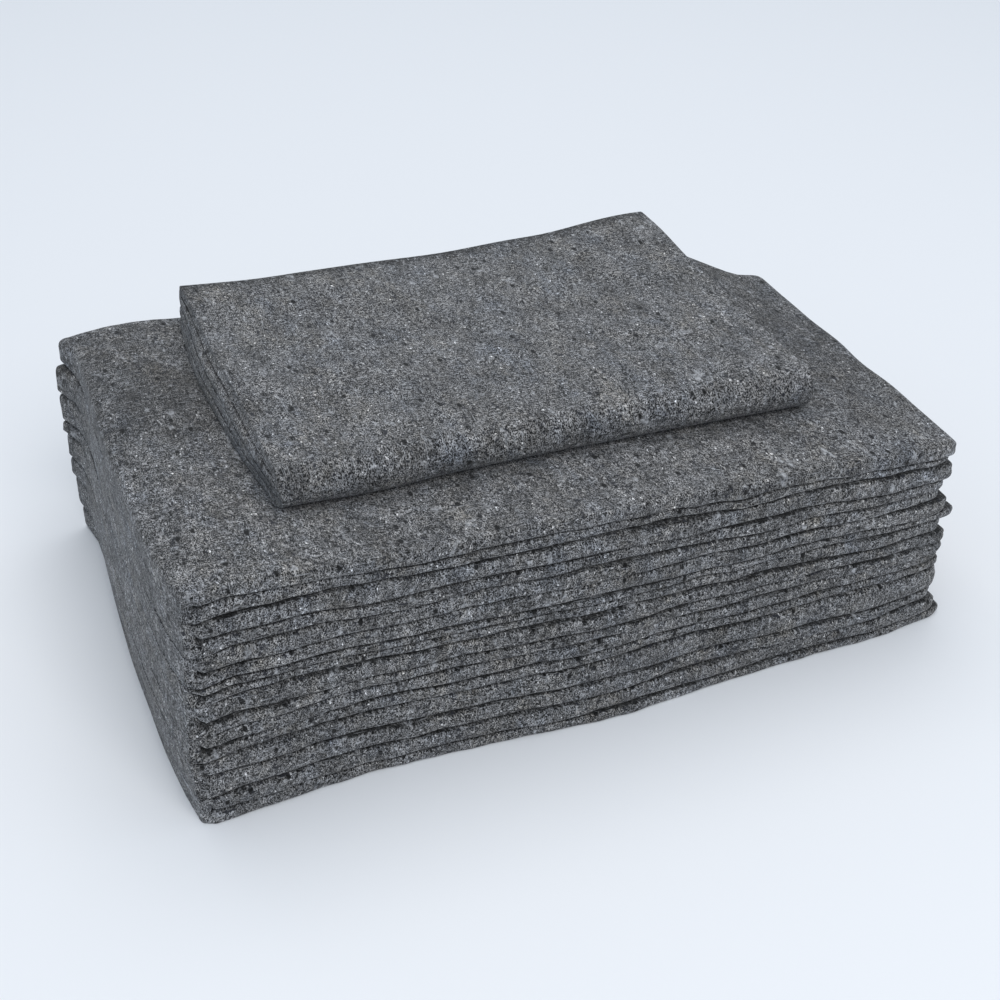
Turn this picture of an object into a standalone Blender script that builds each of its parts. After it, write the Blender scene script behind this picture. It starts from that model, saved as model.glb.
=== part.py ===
"""A stack of folded moving blankets: eight wide ones, and one folded smaller on top.

Each blanket is one sheet of thick stitch-bonded felt. It is folded in half and in half again, so four
layers lie on each other as a pack, with a round fold along the front. The pack is then folded over once
more. On the wide blankets this last fold is at the left end, and on the small one it is along the front.
Metres, +Z up. X runs along the stack's long side, -Y is its front, and the floor is z = 0.
"""
from collections import namedtuple
from math import pi, radians

import bpy
import numpy as np

MM = 0.001

# The sheet, as it is cut
CUT_LENGTH = 1.37
CUT_WIDTH = 1.83

# The folded sizes: a wide blanket is a quarter of the width deep and half of the length long
WIDE_LENGTH = CUT_LENGTH / 2
WIDE_DEPTH = CUT_WIDTH / 4
SMALL_LENGTH = CUT_WIDTH / 4
LOOSE_FOLD = 14 * MM
SMALL_DEPTH = CUT_LENGTH / 4 + LOOSE_FOLD

# A pack of four layers, as thick as it lies in a wide blanket
LAYERS = 4
FELT = 2.7 * MM
LAYER_GAP = 0.4 * MM
LAYER_PITCH = FELT + LAYER_GAP
PACK_THICKNESS = LAYERS * FELT + (LAYERS - 1) * LAYER_GAP
CUT_EDGE_IN = 4 * MM

# Round folds: segments of the outer and inner ones, and how square they are (1 is a true round)
OUTER_FOLD_SEGMENTS = 6
INNER_FOLD_SEGMENTS = 3
FOLD_SQUARENESS = 0.72

# The gap between blankets, and the pocket inside a wide blanket's last fold
BLANKET_GAP = 0.3 * MM
LEG_GAP = 0.4 * MM
POCKET_HALF_HEIGHT = 1.2 * MM
POCKET_REACH = 2.5 * MM

# Where the stack's middle lies from the middle of the folded sizes
MIDDLE_X = -3.3 * MM
MIDDLE_Y = -7.9 * MM

# The wide blankets from the bottom up, in mm. left, centre and right are the thickness along the front,
# low_left and low_right the lower leg's share of it, out_front and out_back how far the last fold stands
# out at the left, out_low and out_up how far the two legs reach out at the right, and front how far the
# blanket's front fold stands proud of the rest.
Fold = namedtuple("Fold", "left centre right low_left low_right out_front out_back out_low out_up front")
WIDE_FOLDS = (
    Fold(29.0, 27.5, 22.0, 0.46, 0.33, 14.0, 7.0, 13.0, 8.0, 0.0),
    Fold(39.0, 36.0, 35.0, 0.57, 0.29, 20.0, 9.0, 0.0, 7.0, 0.0),
    Fold(24.5, 24.5, 18.0, 0.44, 0.43, 19.0, 9.0, 4.0, 7.0, -1.0),
    Fold(30.0, 25.5, 21.5, 0.34, 0.49, 16.0, 10.0, 9.0, 9.0, 0.5),
    Fold(15.5, 16.0, 22.0, 0.49, 0.65, 11.0, 11.0, 4.0, 11.0, -1.0),
    Fold(30.5, 29.0, 23.5, 0.41, 0.60, 10.0, 15.0, 8.0, 0.0, 0.0),
    Fold(31.5, 29.5, 29.5, 0.41, 0.39, 8.0, 13.0, -1.0, 5.0, 1.0),
    Fold(27.5, 22.5, 21.0, 0.53, 0.50, 7.0, 5.0, 4.5, 4.5, 0.0),
)

# Along X, the left thickness holds up to LEFT_HOLD and turns to the centre's by DIP, which holds up to
# CENTRE_HOLD and then goes evenly to the right's at the right end
LEFT_HOLD = -0.28
DIP = -0.16
CENTRE_HOLD = 0.0

# The pile is lower along its back: its height there as a share of the front's
Back = namedtuple("Back", "x share")
BACK_HEIGHTS = (Back(-0.36, 0.905), Back(-0.16, 0.955), Back(0.0, 0.95), Back(0.27, 1.005), Back(0.36, 0.97))

# The plan of the front: how far the lowest blanket stands out past its folded size, in mm. The top
# blanket stands out by only TOP_STANDS_OUT of this.
Front = namedtuple("Front", "x out")
FRONT_LINE = (Front(-0.34, 10.0), Front(-0.28, 9.0), Front(-0.21, 4.5), Front(-0.16, 7.0), Front(0.0, 15.5),
              Front(0.27, 9.5), Front(0.345, 2.0))
TOP_STANDS_OUT = 0.4

# The plan of the back: how far it stands in at the right, in mm
BACK_LINE = (Front(0.26, 0.0), Front(0.33, -80.0), Front(0.345, -108.0))

# Stations along a wide blanket's legs, and the round of its last fold
LEG_STATIONS = (0.27, CENTRE_HOLD, DIP, (LEFT_HOLD + DIP) / 2, LEFT_HOLD)
LAST_FOLD_SEGMENTS = 5
LAST_FOLD_DEPTH = 13 * MM

# At its cut end a leg is thinner, and its corners are rounded off in plan
END_ROUND = 14 * MM
END_THINNING = 0.86
END_CORNER = 7 * MM

# The small blanket lies a little askew: along its depth it leans in X, and along its length it slants in Y.
# Its four passes, from the bottom up, reach past the folded length by their own amounts, in mm.
SMALL_CENTRE = (0.0, 0.032)
SMALL_LEAN = 0.03
SMALL_SLANT = 0.018
SMALL_LIFT = 1.0 * MM
SMALL_PACK = 9.2 * MM
SMALL_PASS_PITCH = SMALL_PACK + 0.5 * MM
SMALL_FOLD_SEGMENTS = 7
SMALL_INNER_SEGMENTS = 4
SMALL_STATIONS = (DIP, CENTRE_HOLD)
Pass = namedtuple("Pass", "left right")
SMALL_PASSES = (Pass(24.0, 18.0), Pass(22.0, 21.0), Pass(15.0, 24.0), Pass(12.0, 22.0))

# Felt colour (linear) and finish
FELT_COLOUR = (0.128, 0.126, 0.127, 1.0)
FELT_ROUGHNESS = 0.95
TONE_STEP = 0.006


def rounded(angle, squareness):
    """Across and along a round fold: 0, 1 at its tip and 1, 0 or -1, 0 where it meets the layers."""
    across = np.sign(np.sin(angle)) * np.abs(np.sin(angle)) ** squareness
    along = np.abs(np.cos(angle)) ** squareness
    return across, along


def read_line(rows, x):
    """The value of a plan or height line at x, straight between its rows."""
    table = np.array(rows)
    return np.interp(x, table[:, 0], table[:, 1])


Section = namedtuple("Section", "at_back inward height")


def folded_section(layer, pitch, outer_segments, inner_segments, cut_in, squareness):
    """The two faces of a strip that is folded in half and in half again, seen along its folds.

    The strip starts at the back on the lowest layer, turns round the front to the highest, round the back
    to the one below it, and inside the front fold to the second layer. Each point lies a distance inward
    from the front or the back, and a height over the lowest face.
    """
    heights = layer / 2 + pitch * np.arange(LAYERS)
    outer = (heights[3] - heights[0]) / 2
    inner = pitch / 2
    nose = outer + layer / 2
    tail = inner + layer / 2
    faces = []
    for side in (1, -1):
        at_back, inward, height = [1], [cut_in], [heights[0] - side * layer / 2]
        turns = (
            (0, nose, (heights[0] + heights[3]) / 2, outer + side * layer / 2, outer_segments, 1),
            (1, tail, (heights[3] + heights[2]) / 2, inner + side * layer / 2, inner_segments, -1),
            (0, nose, (heights[2] + heights[1]) / 2, inner - side * layer / 2, inner_segments, -1),
        )
        for back, centre, middle, radius, segments, upward in turns:
            across, along = rounded(np.linspace(-pi / 2, pi / 2, segments + 1), squareness)
            at_back.extend([back] * (segments + 1))
            inward.extend(centre - radius * along)
            height.extend(middle + upward * radius * across)
        at_back.append(1)
        inward.append(cut_in)
        height.append(heights[1] + side * layer / 2)
        faces.append(Section(np.array(at_back), np.array(inward), np.array(height)))
    return faces


def closed_outline(faces):
    """The two faces of a section as one closed line, out along one and home along the other."""
    return Section(*(np.concatenate([a, b[::-1]]) for a, b in zip(*faces)))


def with_stops(section, stops):
    """Adds points at the given places along each straight run of a face.

    Such a point's at_back is 2, and its inward is the place itself, along the stack.
    """
    parts = ([], [], [])
    for i, values in enumerate(zip(*section)):
        for part, value in zip(parts, values):
            part.append(value)
        if i + 1 < len(section.at_back) and section.at_back[i] != section.at_back[i + 1]:
            order = stops if section.at_back[i] == 0 else stops[::-1]
            for stop in order:
                for part, value in zip(parts, (2, stop, (section.height[i] + section.height[i + 1]) / 2)):
                    part.append(value)
    return Section(*(np.array(part) for part in parts))


def leg_share(x):
    """How much of the left, centre and right thickness counts at x."""
    left = np.clip((DIP - x) / (DIP - LEFT_HOLD), 0, 1)
    right = np.clip((x - CENTRE_HOLD) / (WIDE_LENGTH / 2 - CENTRE_HOLD), 0, 1.2)
    return left, 1 - left - right, right


def blanket_thickness(fold, x):
    """A wide blanket's thickness at x along the front."""
    left, centre, right = leg_share(x)
    return (left * fold.left + centre * fold.centre + right * fold.right) * MM


def height_share(x, y):
    """The pile's height at a point, as a share of its height at the front."""
    depth = np.clip((y + WIDE_DEPTH / 2) / WIDE_DEPTH, 0, 1.1)
    return 1 + (read_line(BACK_HEIGHTS, x) - 1) * depth


def pile_height(count, x, y):
    """The height of the top of the lowest count blankets."""
    front = sum(blanket_thickness(fold, x) for fold in WIDE_FOLDS[:count])
    return front * height_share(x, y)


def wide_blanket(index):
    """The grid of one wide blanket: stations along its legs and last fold, by points round its section."""
    fold = WIDE_FOLDS[index]
    faces = folded_section(FELT, LAYER_PITCH, OUTER_FOLD_SEGMENTS, INNER_FOLD_SEGMENTS, CUT_EDGE_IN,
                           FOLD_SQUARENESS)
    outline = closed_outline(faces)
    outward = outline.height / PACK_THICKNESS

    # One row for each station: x, across and out tell a leg (0 out) from the last fold
    right_low = WIDE_LENGTH / 2 + fold.out_low * MM
    right_up = WIDE_LENGTH / 2 + fold.out_up * MM
    low_x = (right_low, right_low - END_ROUND) + LEG_STATIONS
    up_x = (right_up, right_up - END_ROUND) + LEG_STATIONS
    across, along = rounded(np.linspace(-pi / 2, pi / 2, LAST_FOLD_SEGMENTS + 1), FOLD_SQUARENESS)
    in_turn = np.concatenate([np.zeros(len(low_x)), np.ones(len(across)), np.zeros(len(up_x))])[:, None]
    rise = np.concatenate([-np.ones(len(low_x)), across, np.ones(len(up_x))])[:, None]
    out = np.concatenate([np.zeros(len(low_x)), along, np.zeros(len(up_x))])[:, None]
    leg_x = np.concatenate([low_x, np.zeros(len(across)), up_x[::-1]])[:, None]
    at_end = np.zeros(leg_x.shape)
    at_end[[0, -1]] = 1

    # Plan: the front fold, the back, and the left end
    level = index / (len(WIDE_FOLDS) - 1)
    stands_out = 1 - (1 - TOP_STANDS_OUT) * level
    plan_x = np.where(in_turn > 0, -WIDE_LENGTH / 2, leg_x)
    front = -WIDE_DEPTH / 2 - (read_line(FRONT_LINE, plan_x) * stands_out + fold.front) * MM
    back = WIDE_DEPTH / 2 + read_line(BACK_LINE, plan_x) * MM
    front = front + END_CORNER * at_end
    back = back - END_CORNER * at_end
    y = np.where(outline.at_back == 1, back - outline.inward, front + outline.inward)
    back_share = (y + WIDE_DEPTH / 2) / WIDE_DEPTH
    left_end = -WIDE_LENGTH / 2 - (fold.out_front + (fold.out_back - fold.out_front) * back_share) * MM
    turn_x = left_end + LAST_FOLD_DEPTH

    # Heights: the floor or the blanket below, the line between the legs, and the top
    x = np.where(in_turn > 0, turn_x, leg_x)
    bottom = pile_height(index, x, y) + (BLANKET_GAP if index else 0)
    top = pile_height(index + 1, x, y)
    left, _, right = leg_share(x)
    low_share = (fold.low_left + (fold.low_right - fold.low_left) * (1 - left + right) / 2)
    split = bottom + (top - bottom) * low_share
    pocket = LEG_GAP / 2 + (POCKET_HALF_HEIGHT - LEG_GAP / 2) * in_turn
    leg = np.where(rise < 0, split - bottom, top - split) - pocket
    shrink = 1 - (1 - END_THINNING) * at_end
    from_split = pocket + leg * (0.5 + (outward - 0.5) * shrink)
    z = split + rise * from_split
    x = x - out * (POCKET_REACH + (LAST_FOLD_DEPTH - POCKET_REACH) * outward)
    return np.stack([x, y + 0 * x, z], axis=-1)


def small_blanket():
    """The grid of the small blanket: stations along its four passes, by points round its pack's section.

    The pack's round fold is at the left end. The pack passes from the back to the front and round to the
    top, round the back, and inside the front fold.
    """
    scale = SMALL_PACK / PACK_THICKNESS
    faces = folded_section(FELT * scale, LAYER_PITCH * scale, OUTER_FOLD_SEGMENTS, INNER_FOLD_SEGMENTS,
                           CUT_EDGE_IN, FOLD_SQUARENESS)
    outline = closed_outline([with_stops(face, SMALL_STATIONS) for face in faces])

    # The path is the middle of the same fold, one size up, and its faces give the pack's own directions
    outer, inner = folded_section(SMALL_PACK, SMALL_PASS_PITCH, SMALL_FOLD_SEGMENTS, SMALL_INNER_SEGMENTS,
                                  CUT_EDGE_IN, FOLD_SQUARENESS)
    share = outline.height / SMALL_PACK
    inward = outer.inward[:, None] * share + inner.inward[:, None] * (1 - share)
    height = outer.height[:, None] * share + inner.height[:, None] * (1 - share)
    at_back = outer.at_back[:, None]
    local_y = np.where(at_back == 1, SMALL_DEPTH / 2 - inward, inward - SMALL_DEPTH / 2)

    # Each pass reaches out by its own amount at the two ends
    levels = (np.arange(LAYERS) + 0.5) * SMALL_PASS_PITCH
    reach = np.array(SMALL_PASSES) * MM
    left = -SMALL_LENGTH / 2 - np.interp(height, levels, reach[:, 0])
    right = SMALL_LENGTH / 2 + np.interp(height, levels, reach[:, 1])
    stop_x = outline.inward - SMALL_CENTRE[0] - SMALL_LEAN * local_y
    local_x = np.where(outline.at_back == 1, right - outline.inward, left + outline.inward)
    local_x = np.where(outline.at_back == 2, stop_x, local_x)
    x = SMALL_CENTRE[0] + local_x + SMALL_LEAN * local_y
    y = SMALL_CENTRE[1] + local_y + SMALL_SLANT * local_x
    z = pile_height(len(WIDE_FOLDS), x, y) + SMALL_LIFT + height
    return np.stack([x, y, z], axis=-1)


def grid_triangles(grid):
    """The triangles of a section carried along its stations, closed by a strip over each cut end.

    A quad is split along the diagonal that runs farther in x - y, so faces that lie on each other are
    split the same way and keep their gap.
    """
    stations, points = grid.shape[:2]
    index = np.arange(stations * points).reshape(stations, points)
    a, b = index[:-1], np.roll(index, -1, axis=1)[:-1]
    c, d = np.roll(index, -1, axis=1)[1:], index[1:]
    key = (grid[..., 0] - grid[..., 1]).ravel()
    first = np.abs(key[a] - key[c]) >= np.abs(key[b] - key[d])
    one = np.where(first[..., None], np.stack([a, b, c], -1), np.stack([a, b, d], -1))
    two = np.where(first[..., None], np.stack([a, c, d], -1), np.stack([b, c, d], -1))
    half = points // 2
    out = np.arange(half - 1)
    home = points - 1 - out
    strip = np.concatenate([np.stack([out, home - 1, out + 1], -1), np.stack([out, home, home - 1], -1)])
    last = strip[:, ::-1] + (stations - 1) * points
    return np.concatenate([one.reshape(-1, 3), two.reshape(-1, 3), strip, last])


def signed_volume(points, triangles):
    """The volume inside the triangles, negative where they face inward."""
    p, q, r = (points[triangles[:, i]] for i in range(3))
    return float(np.einsum("ij,ij->i", p, np.cross(q, r)).sum() / 6)


def add_solid(name, grid, material):
    """Adds one blanket as an object of its own, its faces pointing out, shaded smooth but at its edges."""
    points = grid.reshape(-1, 3) - np.array([MIDDLE_X, MIDDLE_Y, 0])
    triangles = grid_triangles(grid)
    if signed_volume(points, triangles) < 0:
        triangles = triangles[:, ::-1]
    mesh = bpy.data.meshes.new(name)
    mesh.from_pydata(points.tolist(), [], triangles.tolist())
    mesh.materials.append(material)
    mesh.shade_smooth()
    mesh.set_sharp_from_angle(angle=radians(50))
    blanket = bpy.data.objects.new(name, mesh)
    bpy.context.scene.collection.objects.link(blanket)


def felt(name, tone):
    """A felt material, a little lighter or darker than the stack's own grey."""
    material = bpy.data.materials.new(name)
    material.use_nodes = True
    shader = material.node_tree.nodes["Principled BSDF"]
    shader.inputs["Base Color"].default_value = tuple(c + tone for c in FELT_COLOUR[:3]) + (1.0,)
    shader.inputs["Roughness"].default_value = FELT_ROUGHNESS
    shader.inputs["Metallic"].default_value = 0.0
    return material


def main():
    """Clears the scene and builds the stack from the bottom up."""
    for thing in list(bpy.data.objects):
        bpy.data.objects.remove(thing)
    for index in range(len(WIDE_FOLDS)):
        name = f"blanket_{index + 1}"
        tone = TONE_STEP * ((index * 2) % 3 - 1)
        add_solid(name, wide_blanket(index), felt(f"felt_{index + 1}", tone))
    add_solid("blanket_top", small_blanket(), felt("felt_top", 0.0))


main()
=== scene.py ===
"""The looks of a stack of folded moving blankets: eight wide ones, and one folded smaller on top.

Each blanket is one sheet of thick stitch-bonded felt, swept along the same folds as its CAD solid, but
finer and with the slow unevenness of soft cloth. Metres, +Z up. X runs along the stack's long side, -Y is
its front, and the floor is z = 0.
"""
import logging
from dataclasses import dataclass, field, replace
from enum import Enum
from functools import reduce
from math import pi, radians

import bpy
import numpy as np
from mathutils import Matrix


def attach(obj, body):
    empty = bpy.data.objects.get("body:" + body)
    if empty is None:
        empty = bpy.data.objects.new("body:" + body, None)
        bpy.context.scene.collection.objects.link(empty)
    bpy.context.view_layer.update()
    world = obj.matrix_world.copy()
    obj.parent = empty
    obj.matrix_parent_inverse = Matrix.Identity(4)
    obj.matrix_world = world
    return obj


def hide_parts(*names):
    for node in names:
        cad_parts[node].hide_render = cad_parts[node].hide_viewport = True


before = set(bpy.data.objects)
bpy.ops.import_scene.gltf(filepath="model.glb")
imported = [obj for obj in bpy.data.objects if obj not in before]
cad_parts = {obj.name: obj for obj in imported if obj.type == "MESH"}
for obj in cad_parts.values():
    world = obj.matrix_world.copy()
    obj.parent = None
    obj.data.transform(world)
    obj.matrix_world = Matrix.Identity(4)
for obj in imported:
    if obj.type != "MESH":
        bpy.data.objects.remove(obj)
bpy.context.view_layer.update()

LOG = logging.getLogger("blankets")
MM = 0.001
UNEVEN_SEED = 40
Triple = tuple[float, float, float]

# How far the felt's pattern moves from one wide blanket to the next, and for the small one
PATTERN_STEP = 0.37
SMALL_PATTERN = 5.3

# Points along each straight run of the highest wide blanket, and the angle past which an edge is sharp
TOP_STOPS = 36
SHARP_ANGLE = radians(60)

# The sheet, as it is cut, and the folded sizes
CUT_LENGTH = 1.37
CUT_WIDTH = 1.83
WIDE_LENGTH = CUT_LENGTH / 2
WIDE_DEPTH = CUT_WIDTH / 4
LOOSE_FOLD = 14 * MM
SMALL_LENGTH = CUT_WIDTH / 4
SMALL_DEPTH = CUT_LENGTH / 4 + LOOSE_FOLD

# A pack of four layers, as thick as it lies in a wide blanket
LAYERS = 4
FELT = 2.7 * MM
LAYER_GAP = 0.4 * MM
LAYER_PITCH = FELT + LAYER_GAP
PACK_THICKNESS = LAYERS * FELT + (LAYERS - 1) * LAYER_GAP
CUT_EDGE_IN = 4 * MM

# Where the stack's middle lies from the middle of the folded sizes
MIDDLE = np.array([-3.3 * MM, -7.9 * MM, 0.0])


@dataclass(frozen=True)
class Line:
    """A line through a short table of places and values, softened over a reach to either side."""

    rows: tuple[tuple[float, float], ...]
    reach: float = 0.012
    samples: int = 7

    def at(self, place: np.ndarray) -> np.ndarray:
        """The mean of the straight line between the rows, over the reach round each place.

        Args:
            place: where to read the line.

        Returns:
            The softened value at each place.
        """
        places, values = np.array(self.rows).T
        offsets = np.linspace(-self.reach, self.reach, self.samples)
        return np.mean([np.interp(place + offset, places, values) for offset in offsets], axis=0)


@dataclass(frozen=True)
class Waves:
    """Slow unevenness, as a sum of a few sine waves that run in seeded directions."""

    seed: int
    height: float
    length: float
    count: int = 6
    spread: tuple[float, float] = (0.6, 1.7)

    def numbered(self, number: int) -> "Waves":
        """The same kind of waves with a seed of their own."""
        return replace(self, seed=self.seed + number)

    def at(self, x: np.ndarray, y: np.ndarray) -> np.ndarray:
        """height / sqrt(count) times the sum of sin(2 pi (x cos a + y sin a) / wavelength + phase).

        Args:
            x: places along X.
            y: places along Y.

        Returns:
            The unevenness at each place, mostly within the height.
        """
        rng = np.random.default_rng(UNEVEN_SEED + self.seed)
        total = 0.0
        for _ in range(self.count):
            angle = rng.uniform(0, pi)
            wavelength = self.length * rng.uniform(*self.spread)
            phase = rng.uniform(0, 2 * pi)
            along = x * np.cos(angle) + y * np.sin(angle)
            total = total + np.sin(2 * pi * along / wavelength + phase)
        return self.height * total / np.sqrt(self.count)


def round_fold(angle: np.ndarray, squareness: float | np.ndarray) -> tuple[np.ndarray, np.ndarray]:
    """Points round a fold, as sin(a) and cos(a) raised to the squareness, with the sign kept.

    Args:
        angle: the angles round the fold, -pi / 2 to pi / 2.
        squareness: 1 for a true round, less for a squarer fold.

    Returns:
        How far each point is across the fold, -1 to 1, and along it, 0 to 1 at the tip.
    """
    across = np.sign(np.sin(angle)) * np.abs(np.sin(angle)) ** squareness
    along = np.abs(np.cos(angle)) ** squareness
    return across, along


def quarter_round(share: np.ndarray) -> np.ndarray:
    """How far a quarter circle has come in, 0 at share 0 and 1 at share 1: 1 - sqrt(1 - share^2)."""
    return 1 - np.sqrt(np.clip(1 - share**2, 0, 1))


def crease_of(across: np.ndarray, start: float = 0.8) -> np.ndarray:
    """How deep in a crease a point lies: (|2 across - 1| - start) / (1 - start), and 0 before the start."""
    return np.clip((np.abs(2 * across - 1) - start) / (1 - start), 0, 1)


@dataclass(frozen=True)
class Section:
    """Points along a strip that is folded in half and in half again, seen along its folds.

    A point lies the share far of the way from the near edge to the far one, less inward from either, at a
    height over the lowest face.
    """

    far: np.ndarray
    inward: np.ndarray
    height: np.ndarray

    def place(self, near_edge: np.ndarray, far_edge: np.ndarray) -> np.ndarray:
        """Where the points lie: (1 - far) (near + inward) + far (far edge - inward)."""
        return (1 - self.far) * (near_edge + self.inward) + self.far * (far_edge - self.inward)

    def with_stops(self, stops: int) -> "Section":
        """The same section with more points, evenly, on each run between its two edges.

        Args:
            stops: how many points each such run gets.

        Returns:
            The finer section.
        """
        at = []
        step = np.arange(1, stops + 1) / (stops + 1)
        for i, leaves in enumerate(np.abs(np.diff(self.far)) > 0.5):
            at.append(i)
            at.extend(i + step if leaves else [])
        at.append(len(self.far) - 1)
        known = np.arange(len(self.far))
        return Section(*(np.interp(at, known, line) for line in (self.far, self.inward, self.height)))

    def then_home(self, other: "Section") -> "Section":
        """One closed line: out along this section and home along the other."""
        pairs = ((self.far, other.far), (self.inward, other.inward), (self.height, other.height))
        return Section(*(np.concatenate([a, b[::-1]]) for a, b in pairs))


@dataclass(frozen=True)
class StripFold:
    """How a strip of a given thickness is folded twice: its layers, gaps and round folds."""

    layer: float
    pitch: float
    outer_segments: int
    inner_segments: int
    squareness: float
    cut_in: float = CUT_EDGE_IN

    def faces(self, stops: int) -> tuple[Section, Section]:
        """The outer and the inner face of the folded strip.

        The strip starts at the far edge on the lowest layer, turns round the near edge to the highest,
        round the far edge to the one below it, and inside the near fold to the second layer.

        Args:
            stops: how many points each straight run gets between its ends.

        Returns:
            The outer face and the inner face.
        """
        heights = self.layer / 2 + self.pitch * np.arange(LAYERS)
        outer, inner = (heights[3] - heights[0]) / 2, self.pitch / 2
        nose, tail = outer + self.layer / 2, inner + self.layer / 2
        made = []
        for side in (1, -1):
            half = side * self.layer / 2
            turns = (
                (0, nose, (heights[0] + heights[3]) / 2, outer + half, self.outer_segments, 1),
                (1, tail, (heights[3] + heights[2]) / 2, inner + half, self.inner_segments, -1),
                (0, nose, (heights[2] + heights[1]) / 2, inner - half, self.inner_segments, -1),
            )
            far, inward, height = [[1.0]], [[self.cut_in]], [[heights[0] - half]]
            for edge, centre, middle, radius, segments, upward in turns:
                across, along = round_fold(np.linspace(-pi / 2, pi / 2, segments + 1), self.squareness)
                far.append(np.full(segments + 1, float(edge)))
                inward.append(centre - radius * along)
                height.append(middle + upward * radius * across)
            lines = (far + [[1.0]], inward + [[self.cut_in]], height + [[heights[1] + half]])
            made.append(Section(*(np.concatenate(line) for line in lines)).with_stops(stops))
        return made[0], made[1]


@dataclass(frozen=True)
class WideFold:
    """One wide blanket's sizes in mm: its thickness along the front, and how its ends stand out.

    left, centre and right are the thickness, low_left and low_right the lower leg's share of it,
    out_front and out_back how far the last fold stands out at the left, out_low and out_up how far the
    legs reach out at the right, and front how far the front fold stands proud.
    """

    left: float
    centre: float
    right: float
    low_left: float
    low_right: float
    out_front: float
    out_back: float
    out_low: float
    out_up: float
    front: float


WIDE_FOLDS = (
    WideFold(29.0, 27.5, 22.0, 0.46, 0.33, 11.0, 7.0, 17.0, 9.0, 0.0),
    WideFold(39.0, 36.0, 35.0, 0.57, 0.29, 14.5, 9.0, 3.0, 9.0, 0.0),
    WideFold(24.5, 24.5, 18.0, 0.44, 0.43, 13.5, 12.0, 9.0, 7.0, -1.0),
    WideFold(30.0, 25.5, 21.5, 0.34, 0.49, 11.5, 13.0, 6.5, 9.0, 0.5),
    WideFold(15.5, 16.0, 22.0, 0.49, 0.65, 9.5, 16.0, 4.0, 15.5, -1.0),
    WideFold(30.5, 29.0, 23.5, 0.41, 0.60, 8.5, 15.0, 6.0, -3.0, 0.0),
    WideFold(31.5, 29.5, 27.0, 0.41, 0.39, 7.5, 14.5, -1.0, 6.0, 1.0),
    WideFold(27.5, 22.5, 23.5, 0.53, 0.30, 6.0, 7.0, 3.0, 7.5, 0.0),
)


@dataclass(frozen=True)
class Pile:
    """The heights at which the wide blankets lie on each other."""

    folds: tuple[WideFold, ...] = WIDE_FOLDS
    gap: float = 0.3 * MM
    left_share: Line = Line(((-0.28, 1.0), (-0.16, 0.0)), 0.024)
    right_share: Line = Line(((0.0, 0.0), (0.3425, 1.0), (0.411, 1.2)), 0.024)
    back_share: Line = Line(((-0.36, 0.927), (-0.16, 0.955), (0.0, 0.95), (0.27, 1.005), (0.36, 0.97)), 0.03)
    crest: Line = Line(
        ((-0.36, -5.0), (-0.344, -2.0), (-0.315, 2.0), (-0.274, 0.5), (-0.239, 1.4), (-0.213, -0.7),
         (-0.163, -0.3), (-0.105, 2.6), (-0.066, 2.8), (0.019, 0.7), (0.097, 0.7), (0.137, -2.0),
         (0.177, 1.3), (0.23, 2.1), (0.273, 1.4), (0.336, 0.6), (0.36, -1.5)), 0.008)
    crest_fades: float = 0.75
    crest_reach: float = 0.25
    droop: Line = Line(((-0.37, -11.0), (-0.352, -8.0), (-0.338, -2.5), (-0.315, 0.0)), 0.006)
    droop_fades: float = 0.5
    droop_levels: float = 3.0
    level_uneven: Waves = Waves(0, 0.55 * MM, 0.13)
    line_uneven: Waves = Waves(50, 0.7 * MM, 0.06)
    parting_uneven: Waves = Waves(100, 0.035, 0.08)

    def top(self, count: int, x: np.ndarray, y: np.ndarray) -> np.ndarray:
        """The height of the top of the lowest count blankets.

        It is the sum of their thicknesses along the front, the crest line's part and the droop at the left
        front corner, times the share that is left this far back, plus an unevenness of its own.

        Args:
            count: how many blankets lie below.
            x: places along X.
            y: places along Y.

        Returns:
            The height at each place.
        """
        if count == 0:
            return np.zeros(np.broadcast(x, y).shape)
        left, right = self.left_share.at(x), self.right_share.at(x)
        centre = 1 - left - right
        front = sum(left * f.left + centre * f.centre + right * f.right for f in self.folds[:count])
        level = count / len(self.folds)
        depth = (y + WIDE_DEPTH / 2) / WIDE_DEPTH
        share = 1 + (self.back_share.at(x) - 1) * depth
        crest = self.crest.at(x) * level * (1 - self.crest_fades * np.clip(depth / self.crest_reach, 0, 1))
        droop_level = min(1.0, count / self.droop_levels)
        droop = self.droop.at(x) * droop_level * (1 - self.droop_fades * np.clip(depth, 0, 1))
        uneven = self.level_uneven.numbered(count).at(x, y)
        if count < len(self.folds):
            uneven = uneven + self.line_uneven.numbered(count).at(x, y)
        return (front + crest + droop) * MM * share + uneven

    def between(self, index: int, x: np.ndarray, y: np.ndarray) -> tuple[np.ndarray, ...]:
        """The bottom, the parting of the two legs, and the top of one blanket.

        Args:
            index: which blanket, 0 for the lowest.
            x: places along X.
            y: places along Y.

        Returns:
            The three heights at each place.
        """
        fold = self.folds[index]
        bottom = self.top(index, x, y) + (self.gap if index else 0)
        top = self.top(index + 1, x, y)
        turn = (1 - self.left_share.at(x) + self.right_share.at(x)) / 2
        share = fold.low_left + (fold.low_right - fold.low_left) * turn
        share = share + self.parting_uneven.numbered(index).at(x, y)
        return bottom, bottom + (top - bottom) * share, top


class ShadeAndDarkPatch(Enum):
    """Soft darker places painted on the highest wide blanket, as X, Y, radius and strength in the row frame:
    darker patches beside the small blanket's left end, and painted shade at the left back and to the right of
    the small blanket.
    """

    # Darker patches beside the small blanket's left end
    BY_THE_SMALL = (-0.285, 0.075, 0.085, 0.38)
    BEFORE_IT = (-0.262, 0.005, 0.05, 0.12)
    # Painted shade: the top darker towards the left back, and the small blanket's painted shadow at the right
    LEFT_BACK = (-0.32, 0.16, 0.24, 0.2)
    RIGHT = (0.33, 0.02, 0.26, 0.34)


@dataclass(frozen=True)
class Noise:
    """A noise texture: its scale per metre, its detail and its roughness."""

    scale: float
    detail: float = 2.0
    rough: float = 0.5


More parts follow.
